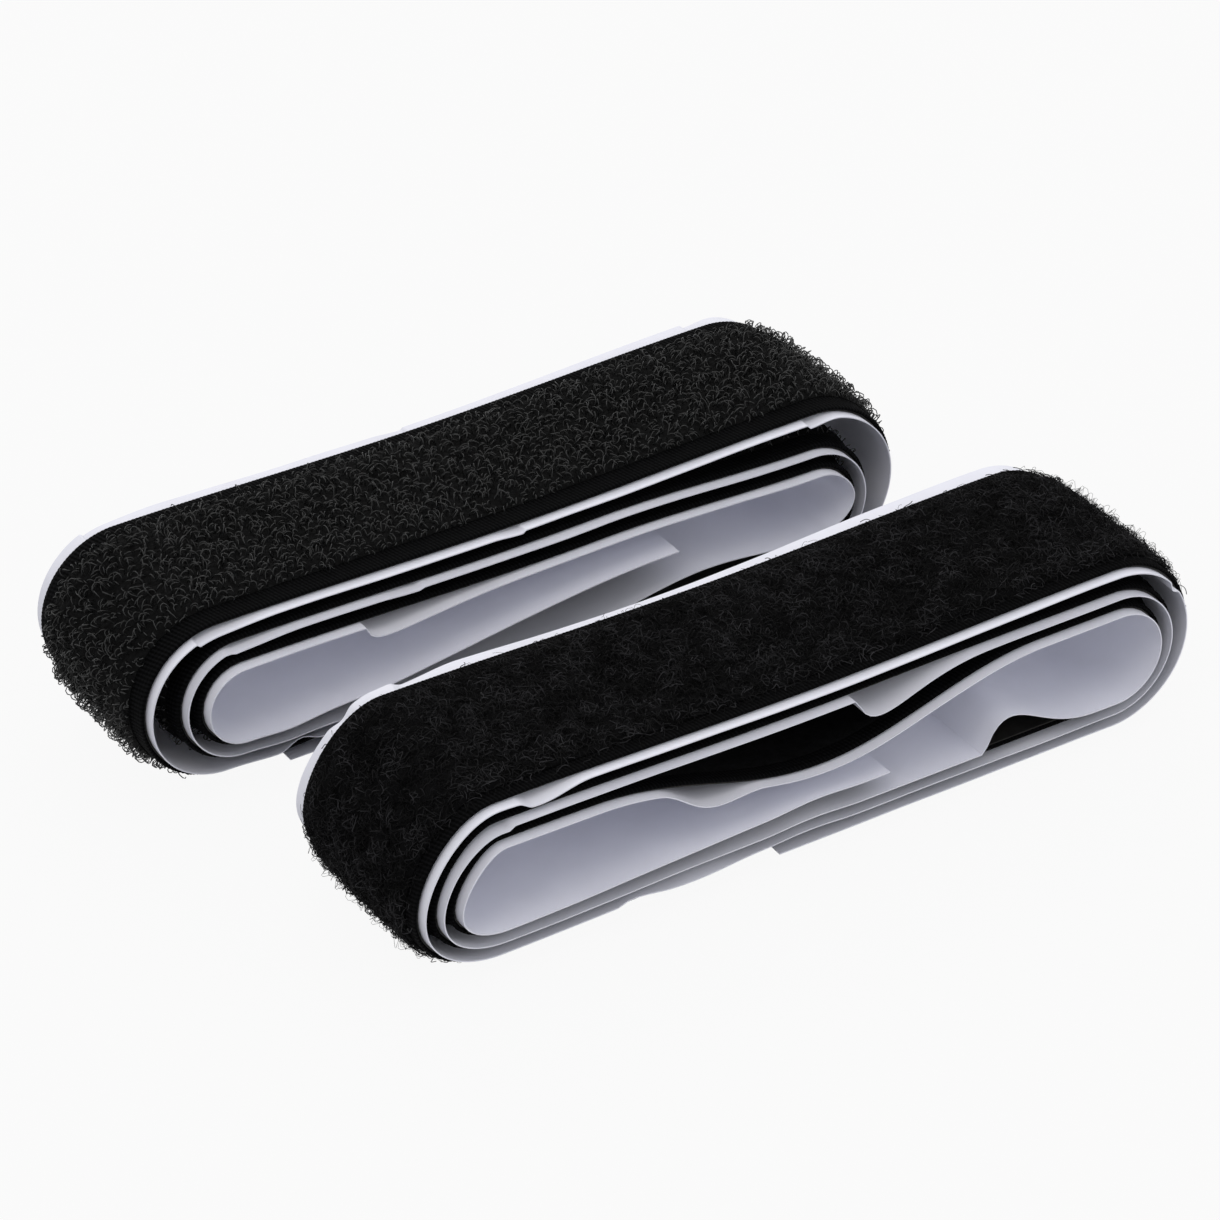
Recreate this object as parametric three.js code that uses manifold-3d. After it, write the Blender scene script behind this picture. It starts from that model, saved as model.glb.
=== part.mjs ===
// Self-adhesive hook and loop tape: a hook strip and a loop strip, each wound flat into an oblong roll.
// Every strip is four bonded layers: woven ground, nap (hooks or loop pile), adhesive and release paper.
// Frame: millimetres, +Z up, X along the rolls, Y across the tape, origin on the table under the middle.
import * as THREE from "three";
import manifoldModule from "manifold-3d";

// Sizes that both strips share
const TAPE_WIDTH = 20;
const LINER_NEAR_OVERHANG = 0.95; // release paper standing past the near edge of the tape
const LINER_FAR_OVERHANG = 2.1; // and past the far edge, being laid on off centre
const ADHESIVE_THICKNESS = 0.15;
const LINER_THICKNESS = 0.12;
const BOND_CLEARANCE = 0.04; // between two bonded layers
const TURN_GAP = 0.52; // air between one turn and the next
const FOLD_CLEARANCE = 0.3; // between the loose tail and the roll, at the fold line
const FOLD_SHARE = 0.5; // share of the outer right bend that goes with the roll
const TURNS = 3;
const CHORD_ERROR = 0.09; // how far a facet may stray from the true curve
const BUCKLE_STEP = 2; // spacing of the sections along a buckle of the paper
const RUN_FACETS = 4; // fewest facets along a straight run
const BEND_FACETS = 3; // fewest facets round an end bend

// Where the loop roll lies beside the hook roll, middle to middle
const ROLL_SPACING = 38.2;
const ROLL_STAGGER = 8;

// Buckles are places where the paper, squeezed on the inside of the turns, has lifted off the adhesive:
// the run that carries it, how far it starts from that run's left or right bend, how long and high it is,
// and the share of its length at which it is highest.
const HOOK_STRIP = {
  name: "hook",
  nap: "hooks",
  groundThickness: 0.45,
  napHeight: 0.5,
  selvedge: 2.2, // bare woven edge beside the nap
  runLength: 68.55, // straight stretch between the two end bends
  boreHeight: 8.1, // paper to paper, inside the left bend
  leftLean: 0, // how far the lower half of the left bend bulges out, and its upper half falls back
  tongueLength: 50.2, // inner free end, from the left bend
  tongueLift: 4.8,
  tailSetback: 7.35, // outer free end, from the left bend
  tailStep: -0.4, // drop of the turns where they come off the tail, or rise if below zero
  ridgeHeight: 0.3, // hump of the turns over the tail's cut end
  ridgeLength: 14,
  runSag: 0.6, // dip in the middle of the top runs
  coreSag: 0.1, // extra dip of the innermost top run
  coreSagLength: 50,
  coreSagShift: 8, // from the middle of the run
  innerDrop: 1.4, // how far the inner turns hang away from the outer one at the right end
  innerDropStart: 8, // from the middle of the run
  leftSlack: 1.5, // how far the inner turns stop short of the outer left bend
  rightSlack: 1.2, // how far they stop short of the right one
  axialDrift: 3, // how far the inner end stands out of the roll's near face
  buckles: [{ run: "top", turn: 0, from: "left", start: 14.8, length: 24, height: 1.5, peak: 0.15 }],
  colour: 0x0b0b0c,
};

// Free hooks of the outer turn, which nothing presses flat: a stem that bends over into a crook
const CROOK_COLUMNS = 33;
const CROOK_ROWS = 10;
const CROOK_STEM = 0.34;
const CROOK_HEIGHT = 0.46;
const CROOK_REACH = 0.62;
const CROOK_RADIUS = 0.14;
const CROOK_ROOT = 0.1; // how deep a stem is sunk in its backing
const CROOK_BACKING = 0.2; // slice of nap that holds the stems
const CROOK_MARGIN = 0.6; // bare border of that slice
const CROOK_START = 0.16; // share of the outer left bend, next to the table, with no free hooks
const CROOK_END = 0.25; // share of the outer right bend up to which they stand

const LOOP_STRIP = {
  name: "loop",
  nap: "pile",
  groundThickness: 0.4,
  napHeight: 0.4,
  selvedge: 1.5,
  runLength: 69.9,
  boreHeight: 9.1,
  leftLean: 0.8,
  tongueLength: 42.4,
  tongueLift: 0.8,
  tailSetback: 31,
  tailStep: 0.5,
  ridgeHeight: 0.3,
  ridgeLength: 12,
  runSag: 0.6,
  coreSag: 4.6,
  coreSagLength: 50,
  coreSagShift: 0.5,
  innerDrop: 0.4,
  innerDropStart: 8,
  leftSlack: 0,
  rightSlack: 0.3,
  axialDrift: 1.6,
  buckles: [
    { run: "top", turn: 0, from: "left", start: 15, length: 12.4, height: 1.6, peak: 0.5 },
    { run: "top", turn: 1, from: "left", start: 39, length: 15.5, height: 2.6, peak: 0.2 },
    { run: "bottom", turn: 1, from: "right", start: 16, length: 13.2, height: 3.3, peak: 0.24 },
  ],
  colour: 0x08080a,
};

const PAPER = { color: 0xe4e4ec, roughness: 0.62, metalness: 0 };
const GLUE = { color: 0x1d1c1b, roughness: 0.45, metalness: 0 };

const clamp01 = (u) => Math.min(1, Math.max(0, u));
const smoothStep = (u) => clamp01(u) ** 2 * (3 - 2 * clamp01(u));
const bell = (u) => (Math.abs(u) < 1 ? Math.cos((u * Math.PI) / 2) ** 2 : 0);

// A hump over 0..1 that is 1 high at the share peak
function hump(u, peak) {
  return u > 0 && u < 1 ? Math.sin(Math.PI * u ** (Math.log(0.5) / Math.log(peak))) ** 2 : 0;
}

// Heights and radii of one roll's winding, all measured on the inner face of the woven ground
function layout(strip) {
  const outside = strip.groundThickness + BOND_CLEARANCE + strip.napHeight;
  const inside = ADHESIVE_THICKNESS + LINER_THICKNESS + 2 * BOND_CLEARANCE;
  const pitch = outside + inside + TURN_GAP;
  const half = strip.runLength / 2;
  const bottomRight = (turn) => outside + (TURNS - turn) * pitch;
  const bottomLeft = (turn) => bottomRight(turn) - strip.tailStep;
  const top = (turn) => bottomLeft(0) + strip.boreHeight + 2 * inside + turn * pitch;
  const tailEnd = -half + strip.tailSetback;
  return { outside, inside, pitch, half, bottomRight, bottomLeft, top, tailEnd };
}

// A straight run of the winding: x goes evenly from one end to the other, height(x) gives z
function runLeg(kind, turn, x0, x1, height) {
  return {
    kind,
    turn,
    facets: RUN_FACETS,
    at: (u) => {
      const x = x0 + (x1 - x0) * u;
      return new THREE.Vector2(x, height(x));
    },
  };
}

// A half-round end bend, wound clockwise as seen from the near side, between the heights low and high.
// A lean pushes its first half outward and draws its second half back.
function bendLeg(kind, turn, x, low, high, lean = 0) {
  const radius = (high - low) / 2;
  const startAngle = kind === "left" ? -Math.PI / 2 : Math.PI / 2;
  return {
    kind,
    turn,
    facets: BEND_FACETS,
    at: (u) => {
      const angle = startAngle - u * Math.PI;
      const shift = -lean * Math.sin(2 * Math.PI * u);
      return new THREE.Vector2(x + radius * Math.cos(angle) + shift, low + radius + radius * Math.sin(angle));
    },
  };
}

// The whole line of the winding, from the inner free end to the outer one
function windingLegs(strip, plan) {
  const { half, bottomRight, bottomLeft, top, tailEnd } = plan;
  const ridgeTop = tailEnd + strip.ridgeLength / 4;
  const ridge = (x) => strip.ridgeHeight * bell((x - ridgeTop) / (strip.ridgeLength / 2));
  const inner = (turn, amount) => (turn < TURNS - 1 ? amount : 0);
  const drop = (turn) => inner(turn, strip.innerDrop);
  const start = (turn) => inner(turn, strip.leftSlack) - half;
  const end = (turn) => half - inner(turn, strip.rightSlack);
  const offTail = (x, turn) => strip.tailStep * smoothStep((x - start(turn)) / (tailEnd - start(turn)));
  const step = (x, turn) => offTail(x, turn) + ridge(x) - ridge(start(turn));
  const hang = strip.innerDropStart;
  const droop = (x, turn) => drop(turn) * smoothStep((x - hang) / (end(turn) - hang));
  const sag = (x, turn) => strip.runSag * bell(x / (x > 0 ? end(turn) : start(turn))) + droop(x, turn);
  const coreSag = (x) => strip.coreSag * bell((x - strip.coreSagShift) / (strip.coreSagLength / 2));
  const tongueReach = strip.tongueLength - strip.leftSlack;
  const tongue = (x) => strip.tongueLift * smoothStep((x - start(0)) / tongueReach);
  const legs = [];
  for (let turn = 0; turn < TURNS; turn += 1) {
    const core = turn === 0;
    const from = core ? -half + strip.tongueLength : end(turn - 1);
    const low = (x) => bottomLeft(turn) + step(x, turn) + (core ? tongue(x) : 0);
    const high = (x) => top(turn) - sag(x, turn) - (core ? coreSag(x) : 0);
    legs.push(runLeg("bottom", turn, from, start(turn), low));
    legs.push(bendLeg("left", turn, start(turn), bottomLeft(turn), top(turn), strip.leftLean));
    legs.push(runLeg("top", turn, start(turn), end(turn), high));
    legs.push(bendLeg("right", turn, end(turn), bottomRight(turn + 1), top(turn) - drop(turn)));
  }
  legs.push(runLeg("bottom", TURNS, half, tailEnd, () => bottomRight(TURNS)));
  return legs;
}

// Shares of a leg at which facets meet, so that none strays from the curve by more than CHORD_ERROR
function flatten(leg) {
  const shares = [0];
  const split = (a, b) => {
    const [p, q] = [leg.at(a), leg.at(b)];
    const middle = leg.at((a + b) / 2);
    const chord = q.clone().sub(p);
    const stray = Math.abs(chord.cross(middle.clone().sub(p))) / chord.length();
    if (stray > CHORD_ERROR) {
      split(a, (a + b) / 2);
      split((a + b) / 2, b);
    } else {
      shares.push(b);
    }
  };
  for (let i = 0; i < leg.facets; i += 1) split(i / leg.facets, (i + 1) / leg.facets);
  return shares;
}

// Where a buckle of the paper starts and ends on its run, in x
function buckleReach(buckle, half) {
  const start = buckle.from === "left" ? -half + buckle.start : half - buckle.start;
  return [start, start + buckle.length];
}

// Sections along the winding: place, outward direction, shift across the tape and lift of the paper
function sections(strip, plan) {
  const legs = windingLegs(strip, plan);
  const places = [];
  legs.forEach((leg, order) => {
    const shares = new Set(flatten(leg));
    const [from, to] = [leg.at(0).x, leg.at(1).x];
    const buckles = strip.buckles.filter((b) => b.run === leg.kind && b.turn === leg.turn);
    for (const buckle of buckles) {
      const [x0, x1] = buckleReach(buckle, plan.half);
      const count = Math.ceil(buckle.length / BUCKLE_STEP);
      for (let i = 0; i <= count; i += 1) {
        shares.add(clamp01((x0 + ((x1 - x0) * i) / count - from) / (to - from)));
      }
    }
    const sorted = [...shares].sort((a, b) => a - b);
    for (const share of order === 0 ? sorted : sorted.slice(1)) {
      const point = leg.at(share);
      const paperLift = buckles.reduce((lift, buckle) => {
        const [x0, x1] = buckleReach(buckle, plan.half);
        return lift + buckle.height * hump((point.x - x0) / (x1 - x0), buckle.peak);
      }, 0);
      places.push({ point, paperLift, kind: leg.kind, turn: leg.turn, share });
    }
  });
  return withDirections(strip, places);
}

// Adds each section's distance from the inner end, its outward normal and its shift across the tape
function withDirections(strip, places) {
  let along = 0;
  places.forEach((place, i) => {
    if (i > 0) along += place.point.distanceTo(places[i - 1].point);
    place.along = along;
  });
  const unit = (i, j) => places[j].point.clone().sub(places[i].point).normalize();
  places.forEach((place, i) => {
    const before = unit(Math.max(0, i - 1), Math.max(1, i));
    const after = unit(Math.min(i, places.length - 2), Math.min(i + 1, places.length - 1));
    const along2d = before.clone().add(after).normalize();
    const mitre = 1 / along2d.dot(after);
    place.out = new THREE.Vector2(-along2d.y, along2d.x).multiplyScalar(mitre);
    place.across = -strip.axialDrift * (1 - place.along / along);
  });
  return places;
}

// The section at a given distance from the inner end, between two others
function sectionAt(places, along) {
  const after = places.findIndex((place) => place.along >= along);
  const [a, b] = [places[after - 1], places[after]];
  const share = (along - a.along) / (b.along - a.along);
  const mix = (p, q) => p + (q - p) * share;
  return {
    point: a.point.clone().lerp(b.point, share),
    out: a.out.clone().lerp(b.out, share),
    paperLift: mix(a.paperLift, b.paperLift),
    across: mix(a.across, b.across),
    along,
  };
}

// The sections between two distances along the winding
function stretch(places, from, to) {
  const inner = places.filter((place) => place.along > from && place.along < to);
  const ends = [from, to].map((along) => (along > 0 ? sectionAt(places, along) : places[0]));
  return [ends[0], ...inner, ends[1]];
}

// A closed tube with flat ends through rings of points
function loft(rings) {
  const sides = rings[0].length;
  const last = sides * (rings.length - 1);
  const faces = [];
  for (let ring = 0; ring < last; ring += sides) {
    for (let k = 0; k < sides; k += 1) {
      const [a, b] = [ring + k, ring + ((k + 1) % sides)];
      faces.push(a, a + sides, b, b, a + sides, b + sides);
    }
  }
  for (let k = 1; k < sides - 1; k += 1) faces.push(0, k, k + 1, last, last + k + 1, last + k);
  const geometry = new THREE.BufferGeometry();
  const points = rings.flat().flatMap((point) => point.toArray());
  geometry.setAttribute("position", new THREE.Float32BufferAttribute(points, 3));
  geometry.setIndex(faces);
  return geometry;
}

// The two long edges of a layer that lies in the middle of the tape
const centred = (width) => [-width / 2, width / 2];

// A ribbon through the sections: depth(section) gives its inner and outer face, from the ground's inner face
function ribbon(run, edges, depth) {
  const rings = run.map((section) => {
    const faceAt = (level) => section.point.clone().addScaledVector(section.out, level);
    const [inner, outer] = depth(section).map(faceAt);
    const [near, far] = edges.map((edge) => section.across + edge);
    return [
      new THREE.Vector3(inner.x, near, inner.y),
      new THREE.Vector3(outer.x, near, outer.y),
      new THREE.Vector3(outer.x, far, outer.y),
      new THREE.Vector3(inner.x, far, inner.y),
    ];
  });
  return loft(rings);
}

// One free hook at a section: a three-sided strand that leans along the tape, forwards or backwards
function crook(section, level, side, lean) {
  const out = new THREE.Vector3(section.out.x, 0, section.out.y).normalize();
  const along = new THREE.Vector3(out.z, 0, -out.x).multiplyScalar(lean);
  const across = new THREE.Vector3(0, -lean, 0);
  const foot = section.point.clone().addScaledVector(section.out, level);
  const base = new THREE.Vector3(foot.x, section.across + side, foot.y);
  const line = [
    new THREE.Vector2(0, -CROOK_ROOT),
    new THREE.Vector2(0, CROOK_STEM),
    new THREE.Vector2(CROOK_REACH / 2, CROOK_HEIGHT),
    new THREE.Vector2(CROOK_REACH, CROOK_STEM),
  ];
  const rings = line.map((point, i) => {
    const before = line[Math.max(0, i - 1)];
    const after = line[Math.min(line.length - 1, i + 1)];
    const heading = after.clone().sub(before).normalize();
    return [0, 1, 2].map((corner) => {
      const angle = (corner * 2 * Math.PI) / 3;
      const flank = CROOK_RADIUS * Math.sin(angle);
      const place = point.clone().add(new THREE.Vector2(-heading.y, heading.x).multiplyScalar(flank));
      return base
        .clone()
        .addScaledVector(along, place.x)
        .addScaledVector(out, place.y)
        .addScaledVector(across, CROOK_RADIUS * Math.cos(angle));
    });
  });
  return loft(rings);
}

const manifold = await manifoldModule();
manifold.setup();

function toSolid(geometry) {
  const vertProperties = geometry.getAttribute("position").array;
  const triVerts = geometry.index.array;
  return new manifold.Manifold(new manifold.Mesh({ numProp: 3, vertProperties, triVerts }));
}

function fromSolid(solid) {
  const mesh = solid.getMesh();
  const geometry = new THREE.BufferGeometry();
  geometry.setAttribute("position", new THREE.Float32BufferAttribute(mesh.vertProperties, 3));
  geometry.setIndex([...mesh.triVerts]);
  return geometry;
}

// The free hooks between two distances along the winding, fused to the slice of nap that they grow from
function crookField(strip, places, from, to) {
  const nap = strip.groundThickness + 2 * BOND_CLEARANCE + strip.napHeight;
  const width = TAPE_WIDTH - 2 * strip.selvedge;
  const slice = ribbon(stretch(places, from, to), centred(width), () => [nap, nap + CROOK_BACKING]);
  const solids = [toSolid(slice)];
  const columnStep = (to - from - 2 * CROOK_MARGIN) / (CROOK_COLUMNS + 0.5);
  const rowStep = (width - 2 * CROOK_MARGIN) / (CROOK_ROWS - 1);
  for (let row = 0; row < CROOK_ROWS; row += 1) {
    const lean = row % 2 === 0 ? 1 : -1;
    for (let column = 0; column < CROOK_COLUMNS; column += 1) {
      const along = from + CROOK_MARGIN + columnStep * (column + (row % 2 === 0 ? 0.25 : 0.75));
      const side = -width / 2 + CROOK_MARGIN + rowStep * row;
      solids.push(toSolid(crook(sectionAt(places, along), nap + CROOK_BACKING, side, lean)));
    }
  }
  return fromSolid(manifold.Manifold.union(solids));
}

// The four bonded layers of a strip, each with its two edges and its inner and outer face
function layers(strip) {
  const glueInner = -BOND_CLEARANCE - ADHESIVE_THICKNESS;
  const paperOuter = glueInner - BOND_CLEARANCE;
  const napInner = strip.groundThickness + BOND_CLEARANCE;
  const cloth = { color: strip.colour, roughness: 0.9, metalness: 0 };
  return [
    { part: "ground", edges: centred(TAPE_WIDTH), look: cloth, depth: () => [0, strip.groundThickness] },
    {
      part: strip.nap,
      edges: centred(TAPE_WIDTH - 2 * strip.selvedge),
      look: cloth,
      depth: () => [napInner, napInner + strip.napHeight],
    },
    { part: "adhesive", edges: centred(TAPE_WIDTH), look: GLUE, depth: () => [glueInner, -BOND_CLEARANCE] },
    {
      part: "liner",
      edges: [-TAPE_WIDTH / 2 - LINER_NEAR_OVERHANG, TAPE_WIDTH / 2 + LINER_FAR_OVERHANG],
      look: PAPER,
      depth: (section) => [paperOuter - LINER_THICKNESS, paperOuter].map((face) => face - section.paperLift),
    },
  ];
}

// The least air gap between two stretches of the winding that are not neighbours along it
function leastTurnGap(places, plan) {
  const apart = plan.half;
  const faces = places.map((place) => ({
    along: place.along,
    outer: place.point.clone().addScaledVector(place.out, plan.outside),
    inner: place.point.clone().addScaledVector(place.out, -plan.inside - place.paperLift),
  }));
  let least = Infinity;
  for (const face of faces) {
    for (let i = 1; i < faces.length; i += 1) {
      if (Math.abs(faces[i].along - face.along) < apart) continue;
      if (Math.abs(faces[i - 1].along - face.along) < apart) continue;
      const chord = new THREE.Line3(
        new THREE.Vector3(faces[i - 1].outer.x, 0, faces[i - 1].outer.y),
        new THREE.Vector3(faces[i].outer.x, 0, faces[i].outer.y),
      );
      const inner = new THREE.Vector3(face.inner.x, 0, face.inner.y);
      least = Math.min(least, chord.closestPointToPoint(inner, true, new THREE.Vector3()).distanceTo(inner));
    }
  }
  return least;
}

// One strip as a group: the wound roll and, past the fold at its right end, the loose tail that lies under it
function roll(strip) {
  const plan = layout(strip);
  const places = sections(strip, plan);
  const whole = places.at(-1).along;
  const outerTurn = places.filter((place) => place.turn === TURNS - 1);
  const fold = outerTurn.find((place) => place.kind === "right" && place.share >= FOLD_SHARE).along;
  const stretches = {
    roll: stretch(places, 0, fold - FOLD_CLEARANCE / 2),
    tail: stretch(places, fold + FOLD_CLEARANCE / 2, whole),
  };
  const group = new THREE.Group();
  const add = (name, geometry, look) => {
    geometry.computeVertexNormals();
    const mesh = new THREE.Mesh(geometry, new THREE.MeshStandardMaterial(look));
    mesh.name = `${strip.name}_${name}`;
    group.add(mesh);
  };
  for (const [body, run] of Object.entries(stretches)) {
    for (const layer of layers(strip)) {
      add(`${body}_${layer.part}`, ribbon(run, layer.edges, layer.depth), layer.look);
    }
  }
  if (strip === HOOK_STRIP) {
    const start = outerTurn.find((place) => place.kind === "left" && place.share >= CROOK_START).along;
    const end = outerTurn.find((place) => place.kind === "right" && place.share >= CROOK_END).along;
    const [, nap] = layers(strip);
    add("roll_crooks", crookField(strip, places, start, end), nap.look);
  }
  const [length, gap] = [whole, leastTurnGap(places, plan)].map((size) => size.toFixed(2));
  console.log(`${strip.name} strip: ${length} mm long, least gap between turns ${gap} mm`);
  return group;
}

const hookRoll = roll(HOOK_STRIP);
const loopRoll = roll(LOOP_STRIP);
loopRoll.position.set(ROLL_STAGGER, -ROLL_SPACING, 0);
const pair = new THREE.Group().add(hookRoll, loopRoll);
const box = new THREE.Box3().setFromObject(pair);
const middle = box.getCenter(new THREE.Vector3());
pair.position.set(-middle.x, -middle.y, -box.min.z);

const assembly = new THREE.Group().add(pair);
assembly.name = "hook_and_loop_tape";
export default assembly;
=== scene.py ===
"""Self-adhesive hook and loop tape: one strip of each, wound flat into an oblong roll, on a pale table."""
import math

import bpy
import numpy as np
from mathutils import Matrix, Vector


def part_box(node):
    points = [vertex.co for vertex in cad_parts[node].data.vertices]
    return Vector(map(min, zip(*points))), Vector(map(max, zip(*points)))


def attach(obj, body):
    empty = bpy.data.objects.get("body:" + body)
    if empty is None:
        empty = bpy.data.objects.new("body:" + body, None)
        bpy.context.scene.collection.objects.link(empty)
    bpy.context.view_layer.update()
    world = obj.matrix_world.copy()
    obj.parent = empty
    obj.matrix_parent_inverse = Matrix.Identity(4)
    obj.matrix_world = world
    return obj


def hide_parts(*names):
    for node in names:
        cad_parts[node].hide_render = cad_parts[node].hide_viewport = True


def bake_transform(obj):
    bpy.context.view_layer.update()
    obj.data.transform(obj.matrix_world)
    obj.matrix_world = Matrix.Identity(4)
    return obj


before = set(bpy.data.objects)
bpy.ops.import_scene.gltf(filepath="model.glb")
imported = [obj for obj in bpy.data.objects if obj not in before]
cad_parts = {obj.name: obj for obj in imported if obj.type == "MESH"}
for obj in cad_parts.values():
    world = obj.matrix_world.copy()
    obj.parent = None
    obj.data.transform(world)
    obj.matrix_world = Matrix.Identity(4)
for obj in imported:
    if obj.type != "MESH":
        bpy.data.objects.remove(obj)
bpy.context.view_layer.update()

# Woven ground of the hook strip.
# A black nylon tape from a narrow loom, wound three times round an empty core, with a loose tail below.
# Its two edges stay bare beside the hooks and show the ribs of the weft.
MM = 0.001
TAPE_WIDTH = 20.0
GLUE_THICKNESS = 0.15
PAPER_THICKNESS = 0.12
BOND = 0.04
TURN_GAP = 0.52
TURNS = 3
RIB_PITCH = 0.42
RIB_HEIGHT = 0.09
RIB_SLANT = 0.25
RIB_FADE = 0.3
WARP_CLOSENESS = 0.85
WARP_RELIEF = 0.45
FUZZ_RELIEF = 1.6
SELVEDGE_ROUND = 0.35
SELVEDGE_FLAT = 0.6
SELVEDGE_TOP = 0.3
SELVEDGE_BACK = 0.25
SELVEDGE_COLUMNS = (0.0, 0.1, 0.35, 0.8, 1.3, 1.8)
COVERED_EDGE = 0.5
COVERED_COLUMNS = 5
SMOOTH_ANGLE = math.radians(50)
INNER_STEP = 0.6
OUTER_STEP = RIB_PITCH / 4
UNROLL_BAND = 6.0
PAPER_END_OVERHANG = 1.0

HOOK_STRIP = {
    "ground": 0.45,
    "nap": 0.5,
    "selvedge": 2.2,
    "run": 68.55,
    "bore": 8.1,
    "left_lean": 0.0,
    "tongue": 50.2,
    "tongue_lift": 4.8,
    "tail_setback": 7.35,
    "tail_step": -0.4,
    "ridge_height": 0.3,
    "ridge_length": 14.0,
    "run_sag": 0.6,
    "core_sag": 0.1,
    "core_sag_length": 50.0,
    "core_sag_shift": 8.0,
    "inner_drop": 1.4,
    "inner_drop_start": 8.0,
    "left_slack": 1.5,
    "right_slack": 1.2,
    "drift": 3.0,
}


def smooth_step(u):
    u = np.clip(u, 0.0, 1.0)
    return u * u * (3 - 2 * u)


def bell(u):
    return np.where(np.abs(u) < 1, np.cos(u * math.pi / 2) ** 2, 0.0)


def wind(strip, tail_nap):
    """Stations of a strip in mm, from its inner free end to the outer one, on the weave's inner face."""
    outside = strip["ground"] + BOND + strip["nap"]
    inside = GLUE_THICKNESS + PAPER_THICKNESS + 2 * BOND
    pitch = outside + inside + TURN_GAP
    half = strip["run"] / 2
    tail_end = -half + strip["tail_setback"]
    ridge_top = tail_end + strip["ridge_length"] / 4
    tail_low, tail_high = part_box(tail_nap)
    middle_x = tail_low.x / MM - tail_end
    middle_y = tail_high.y / MM - TAPE_WIDTH / 2 + strip["selvedge"]

    def low_right(turn):
        return outside + (TURNS - turn) * pitch

    def low_left(turn):
        return low_right(turn) - strip["tail_step"]

    def high(turn):
        return low_left(0) + strip["bore"] + 2 * inside + turn * pitch

    def ridge(x):
        return strip["ridge_height"] * bell((x - ridge_top) / (strip["ridge_length"] / 2))

    def inner(turn, key):
        return strip[key] if turn < TURNS - 1 else 0.0

    def start(turn):
        return inner(turn, "left_slack") - half

    def end(turn):
        return half - inner(turn, "right_slack")

    def under(x, turn):
        off_tail = strip["tail_step"] * smooth_step((x - start(turn)) / (tail_end - start(turn)))
        tongue_reach = strip["tongue"] - strip["left_slack"]
        tongue = strip["tongue_lift"] * smooth_step((x - start(0)) / tongue_reach) if turn == 0 else 0.0
        return low_left(turn) + off_tail + ridge(x) - ridge(start(turn)) + tongue

    def over(x, turn):
        hang = strip["inner_drop_start"]
        droop = inner(turn, "inner_drop") * smooth_step((x - hang) / (end(turn) - hang))
        core = bell((x - strip["core_sag_shift"]) / (strip["core_sag_length"] / 2))
        sag = strip["run_sag"] * bell(x / np.where(x > 0, end(turn), start(turn)))
        return high(turn) - sag - droop - (strip["core_sag"] * core if turn == 0 else 0.0)

    def run(x0, x1, height, step):
        x = np.linspace(x0, x1, math.ceil(abs(x1 - x0) / step) + 1)
        return np.column_stack([x, height(x)])

    def bend(x, low, top, first, lean, step):
        radius = (top - low) / 2
        swept = np.linspace(0, math.pi, math.ceil(math.pi * radius / step) + 1)
        across = x + radius * np.cos(first - swept) - lean * np.sin(2 * swept)
        return np.column_stack([across, low + radius + radius * np.sin(first - swept)])

    legs = []
    for turn in range(TURNS):
        step = OUTER_STEP if turn == TURNS - 1 else INNER_STEP
        first = -half + strip["tongue"] if turn == 0 else end(turn - 1)
        left_bend = bend(start(turn), low_left(turn), high(turn), -math.pi / 2, strip["left_lean"], step)
        right_top = high(turn) - inner(turn, "inner_drop")
        right_bend = bend(end(turn), low_right(turn + 1), right_top, math.pi / 2, 0.0, step)
        legs.append(("bottom", turn, run(first, start(turn), lambda x: under(x, turn), INNER_STEP)))
        legs.append(("left", turn, left_bend))
        legs.append(("top", turn, run(start(turn), end(turn), lambda x: over(x, turn), step)))
        legs.append(("right", turn, right_bend))
    flat = low_right(TURNS)
    legs.append(("bottom", TURNS, run(half, tail_end, lambda x: np.full_like(x, flat), OUTER_STEP)))

    points = np.concatenate([leg[2] if i == 0 else leg[2][1:] for i, leg in enumerate(legs)])
    along = np.concatenate([[0.0], np.cumsum(np.linalg.norm(np.diff(points, axis=0), axis=1))])
    heading = np.gradient(points, along, axis=0)
    heading /= np.linalg.norm(heading, axis=1)[:, None]
    line = {
        "along": along,
        "local_x": points[:, 0],
        "x": points[:, 0] + middle_x,
        "z": points[:, 1],
        "out_x": -heading[:, 1],
        "out_z": heading[:, 0],
        "y": middle_y - strip["drift"] * (1 - along / along[-1]),
        "half": half,
        "legs": {},
    }
    station = 0
    for kind, turn, leg_points in legs:
        last = station + len(leg_points) - 1
        line["legs"][kind, turn] = (station, last)
        station = last
    fold = line["legs"]["right", TURNS - 1][0]
    line["roll"] = np.arange(0, fold + 1)
    line["tail"] = np.arange(fold, len(along))
    line["tail_tape"] = line["tail"][along[fold:] < along[-1] - PAPER_END_OVERHANG]
    line["fine"] = np.arange(len(along)) >= line["legs"]["left", TURNS - 1][0]
    centre = flat + (high(TURNS - 1) - flat) / 2
    line["unroll"] = [Vector((0, 0, (centre + shift) * MM)) for shift in (-UNROLL_BAND, UNROLL_BAND)]
    return line


def face_of(line, part, across, depth):
    """Points at some depth from the weave's inner face, for each station of a part and each column."""
    x = line["x"][part][:, None] + line["out_x"][part][:, None] * depth
    z = line["z"][part][:, None] + line["out_z"][part][:, None] * depth
    y = line["y"][part][:, None] + np.broadcast_to(across, depth.shape)
    return np.stack([x, y, z], axis=-1)


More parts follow.
